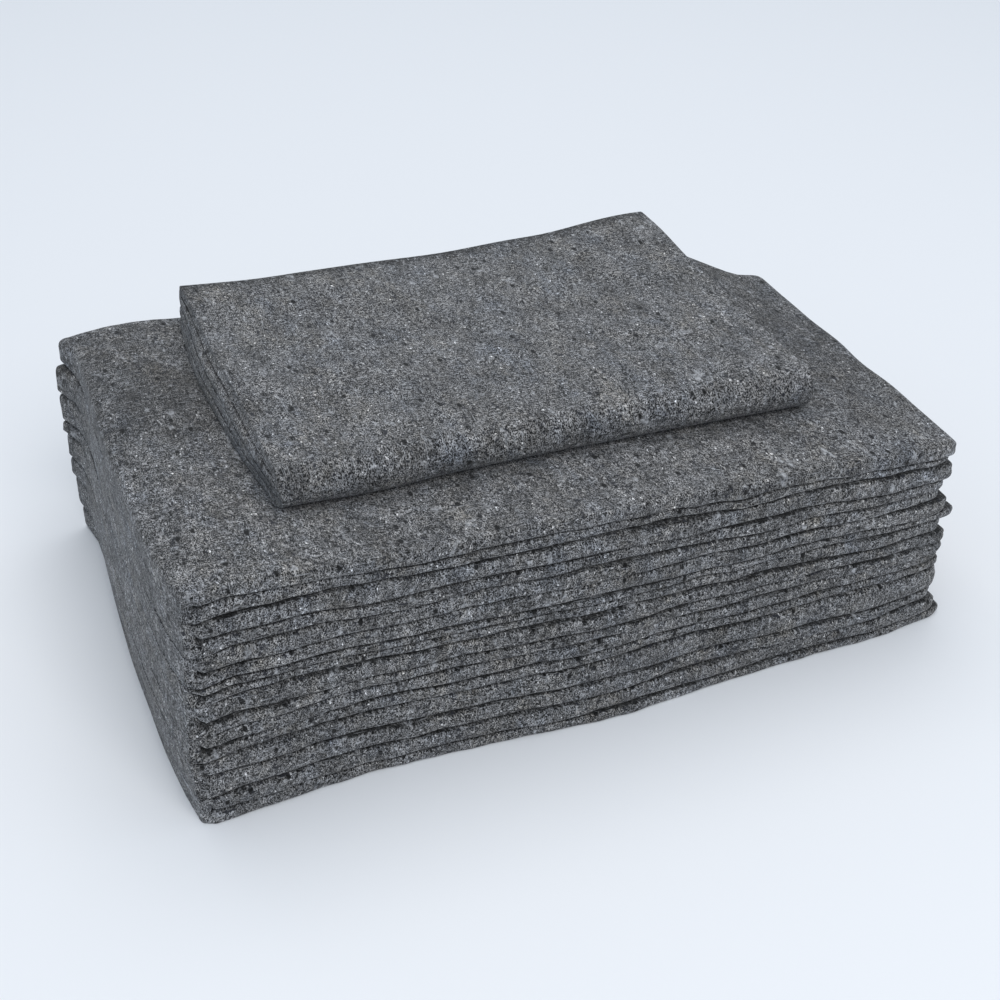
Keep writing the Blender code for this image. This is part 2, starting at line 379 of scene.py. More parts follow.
@dataclass(frozen=True)
class Span:
    """A range of values, from low to high, and what its two ends are turned into."""

    low: float
    high: float
    at_low: float
    at_high: float


@dataclass(frozen=True)
class Dots:
    """Round dots: the cells per metre, a dot's radius in cells, and what its middle is multiplied by."""

    cells: float
    radius: float
    factor: float


def opaque(colour: Triple) -> tuple[float, ...]:
    """A colour with full alpha."""
    return (*colour, 1.0)


class NodeTree:
    """A short way to add shader nodes and link them."""

    def __init__(self, tree: bpy.types.NodeTree) -> None:
        """Keeps the tree to add to."""
        self.tree = tree

    def add(self, kind: str, inputs: dict | None = None, **settings: object) -> bpy.types.Node:
        """Adds a node.

        Args:
            kind: the node's type name.
            inputs: for each input name or number, a socket to link or a constant.
            settings: the node's own properties.

        Returns:
            The new node.
        """
        node = self.tree.nodes.new(kind)
        for name, value in settings.items():
            setattr(node, name, value)
        for key, value in (inputs or {}).items():
            if isinstance(value, bpy.types.NodeSocket):
                self.tree.links.new(value, node.inputs[key])
            else:
                node.inputs[key].default_value = value
        return node

    def times(self, a: object, b: object) -> bpy.types.NodeSocket:
        """One value times another."""
        return self.add("ShaderNodeMath", {0: a, 1: b}, operation="MULTIPLY").outputs[0]

    def plus(self, a: object, b: object) -> bpy.types.NodeSocket:
        """One value plus another."""
        return self.add("ShaderNodeMath", {0: a, 1: b}, operation="ADD").outputs[0]

    def stretch(self, vector: object, factors: Triple) -> bpy.types.NodeSocket:
        """A vector times a factor for each axis."""
        return self.add("ShaderNodeVectorMath", {0: vector, 1: factors}, operation="MULTIPLY").outputs[0]

    def moved(self, vector: object, step: object) -> bpy.types.NodeSocket:
        """A vector plus another."""
        return self.add("ShaderNodeVectorMath", {0: vector, 1: step}, operation="ADD").outputs[0]

    def noise(self, vector: object, noise: Noise) -> bpy.types.Node:
        """A noise texture read at a vector."""
        inputs = {"Vector": vector, "Scale": noise.scale, "Detail": noise.detail, "Roughness": noise.rough}
        return self.add("ShaderNodeTexNoise", inputs)

    def span(self, value: object, span: Span) -> bpy.types.NodeSocket:
        """A value in a span, turned into what the span's ends are turned into, and held there.

        Args:
            value: the value.
            span: the span.

        Returns:
            The new value.
        """
        inputs = {"Value": value, "From Min": span.low, "From Max": span.high,
                  "To Min": span.at_low, "To Max": span.at_high}
        return self.add("ShaderNodeMapRange", inputs, clamp=True).outputs[0]

    def mix(self, share: object, a: object, b: object, blend: str = "MIX") -> bpy.types.NodeSocket:
        """Two colours mixed by a share."""
        inputs = {0: share, 6: a, 7: b}
        return self.add("ShaderNodeMix", inputs, data_type="RGBA", blend_type=blend).outputs[2]


@dataclass(frozen=True)
class Felt:
    """Mottled grey felt of recycled fibres, stitch-bonded in columns across the fold.

    Noises, dots and columns are counted per metre of cloth. A span named light turns a noise into a factor
    on the colour, and one named share into how much of another colour is laid over it.
    """

    grey: Triple = (0.114, 0.113, 0.114)
    cool: Triple = (0.095, 0.108, 0.130)
    warm: Triple = (0.131, 0.119, 0.100)
    fluff: Triple = (0.42, 0.43, 0.45)
    soot: Triple = (0.020, 0.021, 0.026)
    solid_stretch: Triple = (1.0, 0.55, 0.75)
    patches: Noise = Noise(26.0, 6.0, 0.8)
    warm_share: Span = Span(0.35, 0.65, 0.0, 1.0)
    grey_share: Span = Span(0.3, 0.6, 0.2, 0.9)
    clouds: Noise = Noise(48.0, 3.0, 0.65)
    cloud_light: Span = Span(0.3, 0.7, 0.6, 1.42)
    grains: Noise = Noise(1080.0, 1.0, 0.6)
    grain_light: Span = Span(0.4, 0.61, 0.0, 2.15)
    tufts: Noise = Noise(330.0, 2.0, 0.6)
    tuft_stretch: Triple = (1.0, 0.65, 1.0)
    tuft_light: Span = Span(0.33, 0.67, 0.42, 1.6)
    dots: tuple[Dots, ...] = (Dots(210.0, 0.23, 0.08), Dots(190.0, 0.2, 2.6), Dots(64.0, 0.17, 0.04))
    dot_middle: float = 0.6
    # Painted shade deep in creases: how the tufts break its edge, and how dark it gets
    crease_tufts: Span = Span(0.35, 0.65, 1.7, 0.7)
    crease_light: Span = Span(0.0, 1.0, 1.0, 0.15)
    columns: float = 310.0
    column_waver: Noise = Noise(45.0)
    column_sway: float = 5.0
    column_patches: Noise = Noise(60.0)
    column_light: Span = Span(0.35, 0.7, 0.02, 0.16)
    streaks: Noise = Noise(1.0, 1.0)
    streak_stretch: Triple = (90.0, 900.0, 1.0)
    streak_share: Span = Span(0.64, 0.72, 0.0, 0.4)
    fluffs: Noise = Noise(95.0, 3.0, 0.65)
    fluff_share: Span = Span(0.61, 0.73, 0.0, 0.85)
    fluff_tufts: Span = Span(0.35, 0.6, 0.3, 1.0)
    specks: Noise = Noise(1.0, 2.0, 0.6)
    speck_stretch: Triple = (230.0, 330.0, 330.0)
    speck_share: Span = Span(0.625, 0.66, 0.0, 0.97)
    # The ragged edges of the painted shade and dark patches on the highest blanket
    patch_edge: Noise = Noise(14.0, 3.0)
    patch_ragged: float = 0.05
    patch_middle: float = 0.2
    grain_height: float = 0.55
    tuft_height: float = 0.6
    column_height: float = 0.10
    cloud_height: float = 0.9
    bump: float = 0.7
    depth: float = 1.1 * MM
    roughness: float = 0.95
    sheen: float = 0.12
    sheen_roughness: float = 0.6
    specular: float = 0.15

    def material(self, name: str, shift: float, shade_and_patches: tuple[ShadeAndDarkPatch, ...] = ()) -> bpy.types.Material:
        """Builds the finish for one blanket.

        The colour is a patchy grey times the light of the clouds, grains, tufts, dots, the painted shade deep
        in creases, stitch columns, and the painted shade and dark patches given to the blanket, with pale
        streaks, light fluff and dark specks laid over it. The bump's height is the sum of the grains, tufts,
        columns and clouds, each times its own height.

        Args:
            name: the material's name.
            shift: how far to move the pattern, so that no two blankets match.
            shade_and_patches: the soft darker places, painted shade and dark patches.

        Returns:
            The material.
        """
        material = bpy.data.materials.new(name)
        material.use_nodes = True
        nodes = NodeTree(material.node_tree)
        place = nodes.add("ShaderNodeTexCoord").outputs["Object"]
        solid = nodes.moved(nodes.stretch(place, self.solid_stretch), (shift, shift * 2, shift * 3))
        cloth = nodes.moved(nodes.add("ShaderNodeUVMap", uv_map="cloth").outputs[0], (shift, shift, shift))
        cloud = nodes.noise(solid, self.clouds).outputs[0]
        grain = nodes.noise(solid, self.grains).outputs[0]
        tuft = nodes.noise(nodes.stretch(cloth, self.tuft_stretch), self.tufts).outputs[0]
        column = self.stitch_columns(nodes, cloth)

        lights = [nodes.span(cloud, self.cloud_light), nodes.span(grain, self.grain_light),
                  nodes.span(tuft, self.tuft_light)]
        lights += [self.dotted(nodes, solid, dots) for dots in self.dots]
        # Painted shade deep in the creases
        lights.append(self.painted_crease_shade(nodes, tuft))
        faint = nodes.span(nodes.noise(cloth, self.column_patches).outputs[0], self.column_light)
        lights.append(nodes.plus(nodes.times(column, faint), 1.0))
        # Painted shade and dark patches, given to the highest wide blanket only
        lights += [self.shade_and_patch(nodes, place, *dark_patch.value) for dark_patch in shade_and_patches]
        light = reduce(nodes.times, lights)
        grey = nodes.add("ShaderNodeCombineColor", {0: light, 1: light, 2: light}).outputs[0]
        colour = nodes.mix(1.0, self.patchy_grey(nodes, solid), grey, "MULTIPLY")
        colour = self.with_fibres(nodes, colour, solid, cloth, tuft)

        heights = ((grain, self.grain_height), (tuft, self.tuft_height), (column, self.column_height),
                   (cloud, self.cloud_height))
        relief = reduce(nodes.plus, [nodes.times(part, height) for part, height in heights])
        bump = nodes.add("ShaderNodeBump", {"Strength": self.bump, "Distance": self.depth, "Height": relief})
        shader = material.node_tree.nodes["Principled BSDF"]
        material.node_tree.links.new(colour, shader.inputs["Base Color"])
        material.node_tree.links.new(bump.outputs[0], shader.inputs["Normal"])
        shader.inputs["Roughness"].default_value = self.roughness
        shader.inputs["Sheen Weight"].default_value = self.sheen
        shader.inputs["Sheen Roughness"].default_value = self.sheen_roughness
        shader.inputs["Specular IOR Level"].default_value = self.specular
        return material

    def patchy_grey(self, nodes: NodeTree, solid: object) -> bpy.types.NodeSocket:
        """Patches of faint cool and warm colour in the grey.

        Args:
            nodes: the tree to add to.
            solid: the place in the felt.

        Returns:
            The colour.
        """
        patch = nodes.noise(solid, self.patches)
        tone = nodes.add("ShaderNodeSeparateColor", {0: patch.outputs["Color"]})
        faint = nodes.mix(nodes.span(tone.outputs[0], self.warm_share), opaque(self.cool), opaque(self.warm))
        return nodes.mix(nodes.span(tone.outputs[1], self.grey_share), faint, opaque(self.grey))

    def dotted(self, nodes: NodeTree, solid: object, dots: Dots) -> bpy.types.NodeSocket:
        """A factor that is the dots' own in the middle of each dot, and 1 outside its radius."""
        near = nodes.add("ShaderNodeTexVoronoi", {"Vector": solid, "Scale": dots.cells}).outputs["Distance"]
        return nodes.span(near, Span(dots.radius * self.dot_middle, dots.radius, dots.factor, 1.0))

    def painted_crease_shade(self, nodes: NodeTree, tuft: object) -> bpy.types.NodeSocket:
        """A factor of painted shade that darkens the cloth deep in a crease, with an edge that the tufts
        break up.
        """
        crease = nodes.add("ShaderNodeAttribute", attribute_name="crease").outputs["Fac"]
        return nodes.span(nodes.times(crease, nodes.span(tuft, self.crease_tufts)), self.crease_light)

    def stitch_columns(self, nodes: NodeTree, cloth: object) -> bpy.types.NodeSocket:
        """Stitch columns across the fold, as sin(2 pi columns u + sway noise).

        Args:
            nodes: the tree to add to.
            cloth: the place on the cloth.

        Returns:
            The column's height, -1 to 1.
        """
        waver = nodes.times(nodes.noise(cloth, self.column_waver).outputs[0], self.column_sway)
        along = nodes.add("ShaderNodeSeparateXYZ", {0: cloth}).outputs[0]
        turn = nodes.plus(nodes.times(along, self.columns * 2 * pi), waver)
        return nodes.add("ShaderNodeMath", {0: turn}, operation="SINE").outputs[0]

    def with_fibres(self, nodes: NodeTree, colour: object, solid: object, cloth: object,
                    tuft: object) -> bpy.types.NodeSocket:
        """Lays pale streaks, light fluff and dark specks over a colour.

        Args:
            nodes: the tree to add to.
            colour: the colour below.
            solid: the place in the felt.
            cloth: the place on the cloth.
            tuft: the noise of the tufts, which break up the fluff.

        Returns:
            The colour with its fibres.
        """
        streak = nodes.noise(nodes.stretch(cloth, self.streak_stretch), self.streaks).outputs[0]
        colour = nodes.mix(nodes.span(streak, self.streak_share), colour, opaque(self.fluff))
        fluff = nodes.span(nodes.noise(solid, self.fluffs).outputs[0], self.fluff_share)
        colour = nodes.mix(nodes.times(fluff, nodes.span(tuft, self.fluff_tufts)), colour, opaque(self.fluff))
        speck = nodes.noise(nodes.stretch(solid, self.speck_stretch), self.specks).outputs[0]
        return nodes.mix(nodes.span(speck, self.speck_share), colour, opaque(self.soot))

    def shade_and_patch(self, nodes: NodeTree, place: object, x: float, y: float, radius: float,
                strength: float) -> bpy.types.NodeSocket:
        """A factor that is 1 away from a spot and 1 - strength in it, with a wide ragged edge: a darker patch
        painted into the colour, which at the left back and the right of the highest blanket is painted shade.

        Args:
            nodes: the tree to add to.
            place: the place in the row frame.
            x: the spot's place along X.
            y: the spot's place along Y.
            radius: its radius.
            strength: how much darker it is.

        Returns:
            The factor.
        """
        edge = nodes.noise(place, self.patch_edge).outputs["Color"]
        ragged = nodes.stretch(edge, (self.patch_ragged, self.patch_ragged, 0.0))
        middle = self.patch_ragged / 2
        from_spot = nodes.moved(nodes.moved(place, (-x - middle, -y - middle, 0.0)), ragged)
        flat = nodes.stretch(from_spot, (1.0, 1.0, 0.0))
        far = nodes.add("ShaderNodeVectorMath", {0: flat}, operation="LENGTH").outputs["Value"]
        return nodes.span(far, Span(radius * self.patch_middle, radius, 1 - strength, 1.0))


@dataclass
class Blanket:
    """A folded blanket: a closed section carried along its stations, with its cloth measured in metres."""

    name: str
    slot: str
    node: str
    rests_on: str | None
    finish: Felt
    shift: float
    # Painted shade and dark patches in the felt's colour
    shade_and_patches: tuple[ShadeAndDarkPatch, ...] = ()

    def grid(self) -> tuple[np.ndarray, np.ndarray]:
        """The blanket's points, as stations by section points by three, and each one's depth in a crease."""
        raise NotImplementedError

    def faces(self, grid: np.ndarray) -> tuple[np.ndarray, np.ndarray]:
        """The faces of a grid, with a strip over each cut end, and each corner's place on the cloth.

        A place on the cloth is the length along the stations and along the section, in metres: the sum of
        the mean steps between neighbours.

        Args:
            grid: stations by section points by three.

        Returns:
            Faces by four point numbers, and faces by four corners by two lengths.
        """
        rows, cols = grid.shape[:2]
        index = np.arange(rows * cols).reshape(rows, cols)
        side = np.roll(index, -1, axis=1)
        quads = np.stack([index[:-1], side[:-1], side[1:], index[1:]], -1).reshape(-1, 4)
        out = np.arange(cols // 2 - 1)
        home = cols - 1 - out
        strip = np.stack([out, home, home - 1, out + 1], -1)
        last = strip[:, ::-1] + (rows - 1) * cols

        across = np.linalg.norm(np.diff(grid, axis=0), axis=2).mean(axis=1)
        round_it = np.linalg.norm(np.roll(grid, -1, axis=1) - grid, axis=2).mean(axis=0)
        u = np.concatenate([[0.0], np.cumsum(across)])
        v = np.concatenate([[0.0], np.cumsum(round_it)])
        col = np.broadcast_to(np.arange(cols), (rows - 1, cols))
        row = np.broadcast_to(np.arange(rows - 1)[:, None], (rows - 1, cols))
        side_u = u[np.stack([row, row, row + 1, row + 1], -1)].reshape(-1, 4)
        side_v = v[np.stack([col, col + 1, col + 1, col], -1)].reshape(-1, 4)
        end_u = np.broadcast_to([0.0, FELT, FELT, 0.0], strip.shape)
        end_v = v[np.stack([out, out, out + 1, out + 1], -1)]
        map_u = np.concatenate([side_u, -end_u, u[-1] + end_u[:, ::-1]])
        map_v = np.concatenate([side_v, end_v, end_v[:, ::-1]])
        return np.concatenate([quads, strip, last]), np.stack([map_u, map_v], -1)

    def mesh(self, grid: np.ndarray, crease: np.ndarray) -> bpy.types.Mesh:
        """Makes the closed surface of a grid, its faces turned so that the volume within is positive.

        The map named cloth holds each place on the cloth. The crease attribute holds the depth in a crease,
        by which the material paints shade into the colour.

        Args:
            grid: stations by section points by three.
            crease: 0 to 1 for each point of the grid, how deep the painted shade lies.

        Returns:
            The mesh.
        """
        points = grid.reshape(-1, 3) - MIDDLE
        faces, places = self.faces(grid)
        p, q, r, s = (points[faces[:, i]] for i in range(4))
        inside = np.einsum("ij,ij->i", p, np.cross(q, r) + np.cross(r, s)).sum()
        if inside < 0:
            faces, places = faces[:, ::-1], places[:, ::-1]
        mesh = bpy.data.meshes.new(self.name)
        mesh.vertices.add(len(points))
        mesh.vertices.foreach_set("co", points.astype(np.float32).ravel())
        mesh.loops.add(faces.size)
        mesh.loops.foreach_set("vertex_index", faces.astype(np.int32).ravel())
        mesh.polygons.add(len(faces))
        mesh.polygons.foreach_set("loop_start", np.arange(0, faces.size, 4, dtype=np.int32))
        cloth = mesh.uv_layers.new(name="cloth")
        mesh.update(calc_edges=True)
        cloth.uv.foreach_set("vector", places.astype(np.float32).ravel())
        depths = mesh.attributes.new("crease", "FLOAT", "POINT")
        depths.data.foreach_set("value", crease.astype(np.float32).ravel())
        mesh.shade_smooth()
        mesh.set_sharp_from_angle(angle=SHARP_ANGLE)
        return mesh

    def build(self) -> bpy.types.Object:
        """Returns:
            The blanket's object.
        """
        piece = bpy.data.objects.new(self.name, self.mesh(*self.grid()))
        bpy.context.scene.collection.objects.link(piece)
        piece.data.materials.append(self.finish.material(self.slot + "_look", self.shift, self.shade_and_patches))
        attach(piece, "root")
        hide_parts(self.node)
        LOG.info("%s: %d points, %d faces", self.name, len(piece.data.vertices), len(piece.data.polygons))
        return piece


@dataclass(frozen=True)
class Points:
    """Where a wide blanket's points lie on it, with its stations in a column and its section in a row.

    outline is the pack's section. gone is the way from the cut end to the last fold, 0 to 1. rise is the
    way up from the parting of the legs, -1 on the lower leg to 1 on the upper one, and out the way out
    into the last fold, 0 to 1. in_turn is 1 in that fold and 0 on the legs.
    """

    outline: Section
    gone: np.ndarray
    rise: np.ndarray
    out: np.ndarray
    in_turn: np.ndarray

    @property
    def x(self) -> np.ndarray:
        """The place along a blanket of the plain folded length."""
        return WIDE_LENGTH * (0.5 - self.gone)

    @property
    def outward(self) -> np.ndarray:
        """How far out in the pack a point is, seen from the parting of the legs, 0 to 1."""
        return self.outline.height / PACK_THICKNESS

    @property
    def up(self) -> np.ndarray:
        """How much a point belongs to the upper leg, 0 to 1."""
        return (1 + self.rise) / 2

    def near_end(self, reach: float) -> np.ndarray:
        """1 at the cut ends, down to 0 at the reach from them."""
        return np.clip(1 - self.gone * WIDE_LENGTH / reach, 0, 1)


@dataclass
class WideBlanket(Blanket):
    """A blanket folded to a pack of four layers, then once more over its left end."""

    index: int = 0
    pile: Pile = field(default_factory=Pile)
    stops: int = 14
    stations: int = 84
    strip: StripFold = StripFold(FELT, LAYER_PITCH, 12, 5, 0.5)
    front_line: Line = Line(
        ((-0.34, 14.0), (-0.28, 11.0), (-0.21, 2.0), (-0.16, 4.0), (-0.06, 15.0), (0.0, 18.5),
         (0.08, 13.5), (0.2, 9.0), (0.27, 11.0), (0.345, 0.5)))
    top_front_share: float = 0.4
    back_line: Line = Line(
        ((0.24, -4.0), (0.28, -41.0), (0.314, -102.0), (0.335, -104.0), (0.35, -112.0)), 0.006)
    wander: Waves = Waves(200, 1.7 * MM, 0.15)
    ripple: Waves = Waves(240, 0.45 * MM, 0.03)

    # The cut ends, at the right
    end_steps: tuple[float, ...] = (0.0, 0.0004, 0.0014, 0.003, 0.0052, 0.008, 0.012)
    end_round: float = 18 * MM
    end_corner: float = 12 * MM
    end_stagger: float = 0.5 * MM
    stagger_turns: Triple = (2.3, 1.7, 2.0)
    end_ragged: Waves = Waves(400, 1.0 * MM, 0.09)
    end_legs_apart: float = 0.1
    lump_length: float = 8 * MM
    lump_thinning: float = 0.72
    lump_depth: float = 1.0 * MM

    # The last fold, at the left
    turn_segments: int = 18
    turn_depth: float = 13 * MM
    turn_squareness: float = 0.04
    turn_squareness_back: float = 0.4
    top_squareness: float = 0.62
    back_power: int = 10
    beside_share: float = 0.5
    left_corner: float = 6.5 * MM
    back_corner: float = 0.6
    belly: Line = Line(
        ((-0.05, -3.0), (0.0, -0.5), (0.08, 3.5), (0.22, 5.5), (0.4, 3.5), (0.55, 1.5), (0.7, -3.0),
         (0.8, -7.0), (0.9, -9.0), (0.96, -4.0), (1.0, 3.0)), 0.03)
    wall: Waves = Waves(300, 0.4 * MM, 0.15)
    wall_legs_apart: float = 0.02

    # The round front folds and what lies between them
    nip: float = 0.035
    nip_most: float = 0.3
    nip_reach: float = 9 * MM
    nip_uneven: Waves = Waves(600, 0.045, 0.12)
    corner_nip: float = 0.1
    corner_nip_at: float = 20 * MM
    corner_nip_width: float = 11 * MM
    corner_nip_turns: tuple[float, float] = (3.1, 1.3)
    fill: float = 0.9
    fill_width: float = 18 * MM
    leg_gap: float = 0.4 * MM
    pocket: float = 1.6 * MM
    pocket_reach: float = 2.5 * MM
    # How much shade is painted into the felt deep in the creases
    crease_strength: float = 0.7
    crease_least: float = 0.15
    crease_back: float = 0.5
    crease_uneven: Waves = Waves(700, 0.4, 0.12)
    crease_legs_apart: float = 0.2

    @property
    def on_top(self) -> bool:
        """Whether it is the highest wide blanket."""
        return self.index == len(self.pile.folds) - 1

    def grid(self) -> tuple[np.ndarray, np.ndarray]:
        """The points of the lower leg from its cut end, the last fold, and the upper leg home.

        A point's X is the cut end's, less gone times the way to the last fold, less out times the fold's
        depth there. Its height is the parting of the legs plus rise times its distance from it: the
        pocket, half of the leg, and its own share of the leg, thinner where it is nipped or near its end.

        Returns:
            Stations by section points by three, and each point's depth in a crease.
        """
        on = self.points()

        # Plan
        front, back = self.edges(on)
        y = on.outline.place(front, back)
        depth = (y + WIDE_DEPTH / 2) / WIDE_DEPTH
        alone = np.clip(depth, 0, 1) ** self.back_power
        y = self.filled(on, y, y - front)
        turn_x = self.left_wall(on, y, depth, alone) + self.turn_depth
        right = self.cut_end(on, y)
        x = right - on.gone * (right - turn_x)

        # Heights
        bottom, split, top = self.pile.between(self.index, x, y)
        pocket = self.leg_gap / 2 + (self.pocket - self.leg_gap / 2) * on.in_turn
        leg = np.where(on.rise < 0, split - bottom, top - split) - pocket
        lump = self.lump_thinning * quarter_round(on.near_end(self.lump_length))
        thinner = (1 - self.nips(on, y - front)) * (1 - lump)
        z = split + on.rise * (pocket + leg * (0.5 + (on.outward - 0.5) * thinner))
        x = x - on.out * (self.pocket_reach + (self.turn_depth - self.pocket_reach) * on.outward)
        return np.stack([x, y, z], axis=-1), self.creases(on, alone)

    def points(self) -> Points:
        """The stations, close together at the cut ends and then even along the legs, and the last fold.

        In the fold the angle is pi / 2 times the sine of an even turn from -pi / 2 to pi / 2. The fold is
        square at the front, so that the folds lie in one wall, and rounder at the very back. The upper
        half of the highest blanket's is round all along.

        Returns:
            Where the points lie.
        """
        outer, inner = self.strip.faces(self.stops)
        outline = outer.then_home(inner)
        end = np.array(self.end_steps) / WIDE_LENGTH
        leg = np.concatenate([end, np.linspace(self.end_round / WIDE_LENGTH, 1.0, self.stations)[:-1]])
        turn = pi / 2 * np.sin(np.linspace(-pi / 2, pi / 2, self.turn_segments + 1))
        still = np.zeros(len(leg))
        turning = np.ones(len(turn))
        gone = np.concatenate([leg, turning, leg[::-1]])[:, None]
        angle = np.concatenate([still - pi / 2, turn, still + pi / 2])[:, None]
        in_turn = np.concatenate([still, turning, still])[:, None]

        back_share = outline.place(np.array(0.0), np.array(WIDE_DEPTH)) / WIDE_DEPTH
        rounder = self.turn_squareness_back - self.turn_squareness
        squareness = self.turn_squareness + rounder * back_share**self.back_power
        if self.on_top:
            squareness = np.where(angle > 0, self.top_squareness, squareness)
        rise, out = round_fold(angle, squareness)
        return Points(outline, gone, rise, out * in_turn, in_turn)

    def edges(self, on: Points) -> tuple[np.ndarray, np.ndarray]:
        """The front and the back edge in plan, rounded at the corners, with each leg's own small wander.

        Args:
            on: where the points lie.

        Returns:
            The front edge and the back edge along Y.
        """
        level = self.index / (len(self.pile.folds) - 1)
        line = self.front_line.at(on.x) * (1 - (1 - self.top_front_share) * level)
        lower, upper = (self.wandering(2 * self.index + leg, on.x) for leg in (0, 1))
        wander = lower * (1 - on.up) + upper * on.up
        corner = self.end_corner * quarter_round(on.near_end(self.end_round))
        corner = corner + self.left_corner * quarter_round(on.out)
        front = -WIDE_DEPTH / 2 - (line + self.pile.folds[self.index].front) * MM - wander + corner
        back = WIDE_DEPTH / 2 + self.back_line.at(on.x) * MM + wander - self.back_corner * corner
        return front, back

    def wandering(self, leg: int, x: np.ndarray) -> np.ndarray:
        """How far one leg's front fold wanders in and out along X: slow waves and small ripples."""
        return self.wander.numbered(leg).at(x, 0 * x) + self.ripple.numbered(leg).at(x, 0 * x)

    def filled(self, on: Points, y: np.ndarray, inward: np.ndarray) -> np.ndarray:
        """Brings the cloth between two blankets forward near the left corner, where no groove shows.

        It goes forward by fill times inward, times a bell curve of inward, times one of the way from the
        corner, for the outer half of the pack.

        Args:
            on: where the points lie.
            y: places along Y.
            inward: how far each point lies behind the front.

        Returns:
            The new places along Y.
        """
        at_corner = np.exp(-(((on.x + WIDE_LENGTH / 2) / self.fill_width) ** 2)) * (1 - on.out)
        outer_half = np.clip(2 * on.outward - 1, 0, 1)
        return y - self.fill * inward * np.exp(-((inward / self.nip_reach) ** 2)) * at_corner * outer_half

    def left_wall(self, on: Points, y: np.ndarray, depth: np.ndarray, alone: np.ndarray) -> np.ndarray:
        """The left end, which bellies out as one wall, with each fold on its own only at the very back.

        Args:
            on: where the points lie.
            y: places along Y.
            depth: the way from the front to the back, 0 to 1.
            alone: how much the fold stands on its own, 0 to 1.

        Returns:
            The place of the fold's tip along X.
        """
        below, own, above = (self.stands_out(self.index + step, alone) for step in (-1, 0, 1))
        beside = np.where(on.rise < 0, below, above)
        shared = (beside - own) * self.beside_share * np.abs(on.rise) * (1 - alone)
        stands = own + shared + self.belly.at(depth)
        waves = self.wall.numbered(self.index).at(y, on.rise * self.wall_legs_apart)
        return -WIDE_LENGTH / 2 - stands * MM + waves

    def stands_out(self, index: int, alone: np.ndarray) -> np.ndarray:
        """How far a blanket's last fold stands out, in mm, from the front's value to the back's."""
        fold = self.pile.folds[min(max(index, 0), len(self.pile.folds) - 1)]
        return fold.out_front + (fold.out_back - fold.out_front) * alone

    def cut_end(self, on: Points, y: np.ndarray) -> np.ndarray:
        """The right end: each leg's own reach, each layer's stagger, and the ragged line of the cut.

        A layer's stagger is a sine of its number, the blanket's and the leg's, each times a turn.

        Args:
            on: where the points lie.
            y: places along Y.

        Returns:
            The place of the end along X.
        """
        fold = self.pile.folds[self.index]
        reach = (fold.out_low * (1 - on.up) + fold.out_up * on.up) * MM
        by_layer, by_blanket, by_leg = self.stagger_turns
        layer = on.outline.height / LAYER_PITCH
        turn = by_layer * layer + by_blanket * self.index + by_leg * np.sign(on.rise)
        ragged = self.end_ragged.numbered(2 * self.index).at(y, on.rise * self.end_legs_apart)
        back_in = self.lump_depth * on.outward**2
        return WIDE_LENGTH / 2 + reach + self.end_stagger * np.sin(turn) + ragged - back_in

    def nips(self, on: Points, inward: np.ndarray) -> np.ndarray:
        """The share by which a leg's front fold is thinner than the leg, most at its tip.

        It is a mean nip that is uneven along X, plus a deeper one near the front left corner, times a bell
        curve of the way inward from the fold's tip.

        Args:
            on: where the points lie.
            inward: how far each point lies behind the front.

        Returns:
            The share at each point.
        """
        lower, upper = (self.nip_uneven.numbered(2 * self.index + leg).at(on.x, 0 * on.x) for leg in (0, 1))
        share = np.clip(self.nip + np.where(on.rise < 0, lower, upper), 0.0, self.nip_most)
        by_blanket, by_leg = self.corner_nip_turns
        turn = by_blanket * self.index + by_leg * np.sign(on.rise)
        from_corner = (on.x + WIDE_LENGTH / 2 - self.corner_nip_at) / self.corner_nip_width
        share = share + self.corner_nip * (0.5 + 0.5 * np.sin(turn)) * np.exp(-(from_corner**2))
        return share * np.exp(-((inward / self.nip_reach) ** 2))

    def creases(self, on: Points, alone: np.ndarray) -> np.ndarray:
        """How deep each point lies in a crease between the legs or the blankets, 0 to 1, which sets the
        painted shade there.

        There is none on the top of the pile, and they fade out in the last fold, less so at the back.

        Args:
            on: where the points lie.
            alone: how much the last fold stands on its own, 0 to 1.

        Returns:
            The depth in a crease.
        """
        covered = (on.outward < 0.5) | (on.rise < 0) | (not self.on_top)
        uneven = self.crease_uneven.numbered(self.index).at(on.x, on.rise * self.crease_legs_apart)
        strength = np.clip(self.crease_strength + uneven, self.crease_least, 1.0)
        faded = on.out * (1 - self.crease_back * alone)
        return crease_of(on.outward + 0 * on.rise) * covered * strength * (1 - faded)


